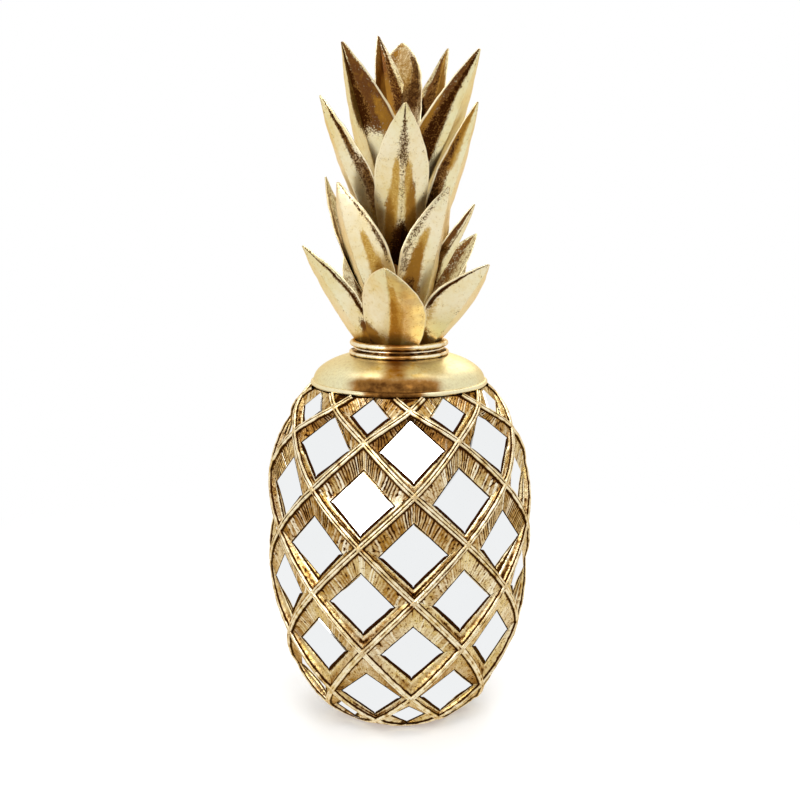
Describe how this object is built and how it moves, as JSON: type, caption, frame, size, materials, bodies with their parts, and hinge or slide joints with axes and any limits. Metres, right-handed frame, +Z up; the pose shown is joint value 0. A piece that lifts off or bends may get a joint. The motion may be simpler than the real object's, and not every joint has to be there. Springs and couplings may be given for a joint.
{
  "type": "pineapple figurine",
  "caption": "Free-standing pineapple ornament: lattice body set with square mirror tiles, domed shoulder cap, beaded collar and a crown of creased metal leaves",
  "frame": {"origin": "centre of the resting face of the foot pad", "axes": "+Z up through the crown, -Y towards the viewer in the picture, +X to the viewer's right"},
  "size_m": [0.117, 0.117, 0.3044],
  "materials": {
    "gilt_casting": "cast resin, antique champagne gold leafing with brown patina in the recesses",
    "mirror_glass": "flat mirror glass, ground edges",
    "gilt_cap": "satin champagne gold with fine grain",
    "leaf_brass": "pale gold, speckled brown patina along edges and tips",
    "rod_steel": "zinc plated",
    "felt": "dark wool felt"
  },
  "bodies": {
    "root": {"body_casting": "gilt_casting", "crown_stem": "leaf_brass", "foot_pad": "felt", "leaf_low_back_left": "leaf_brass", "leaf_low_back_right": "leaf_brass", "leaf_low_front": "leaf_brass", "leaf_low_left": "leaf_brass", "leaf_low_right": "leaf_brass", "leaf_second_back": "leaf_brass", "leaf_second_back_right": "leaf_brass", "leaf_second_front_left": "leaf_brass", "leaf_second_front_right": "leaf_brass", "leaf_second_left": "leaf_brass", "leaf_second_right": "leaf_brass", "leaf_third_back_left": "leaf_brass", "leaf_third_back_right": "leaf_brass", "leaf_third_front": "leaf_brass", "leaf_third_left": "leaf_brass", "leaf_third_right": "leaf_brass", "leaf_top_back": "leaf_brass", "leaf_top_back_left": "leaf_brass", "leaf_top_back_right": "leaf_brass", "leaf_top_front_left": "leaf_brass", "leaf_top_front_right": "leaf_brass", "mirror_row_1_foot": "mirror_glass", "mirror_row_2": "mirror_glass", "mirror_row_3": "mirror_glass", "mirror_row_4": "mirror_glass", "mirror_row_5": "mirror_glass", "mirror_row_6": "mirror_glass", "mirror_row_7": "mirror_glass", "mirror_row_8_shoulder": "mirror_glass", "neck_collar": "gilt_cap", "rod_nut": "rod_steel", "rod_washer": "rod_steel", "shoulder_cap": "gilt_cap", "tie_rod": "rod_steel"}
  },
  "joints": []
}
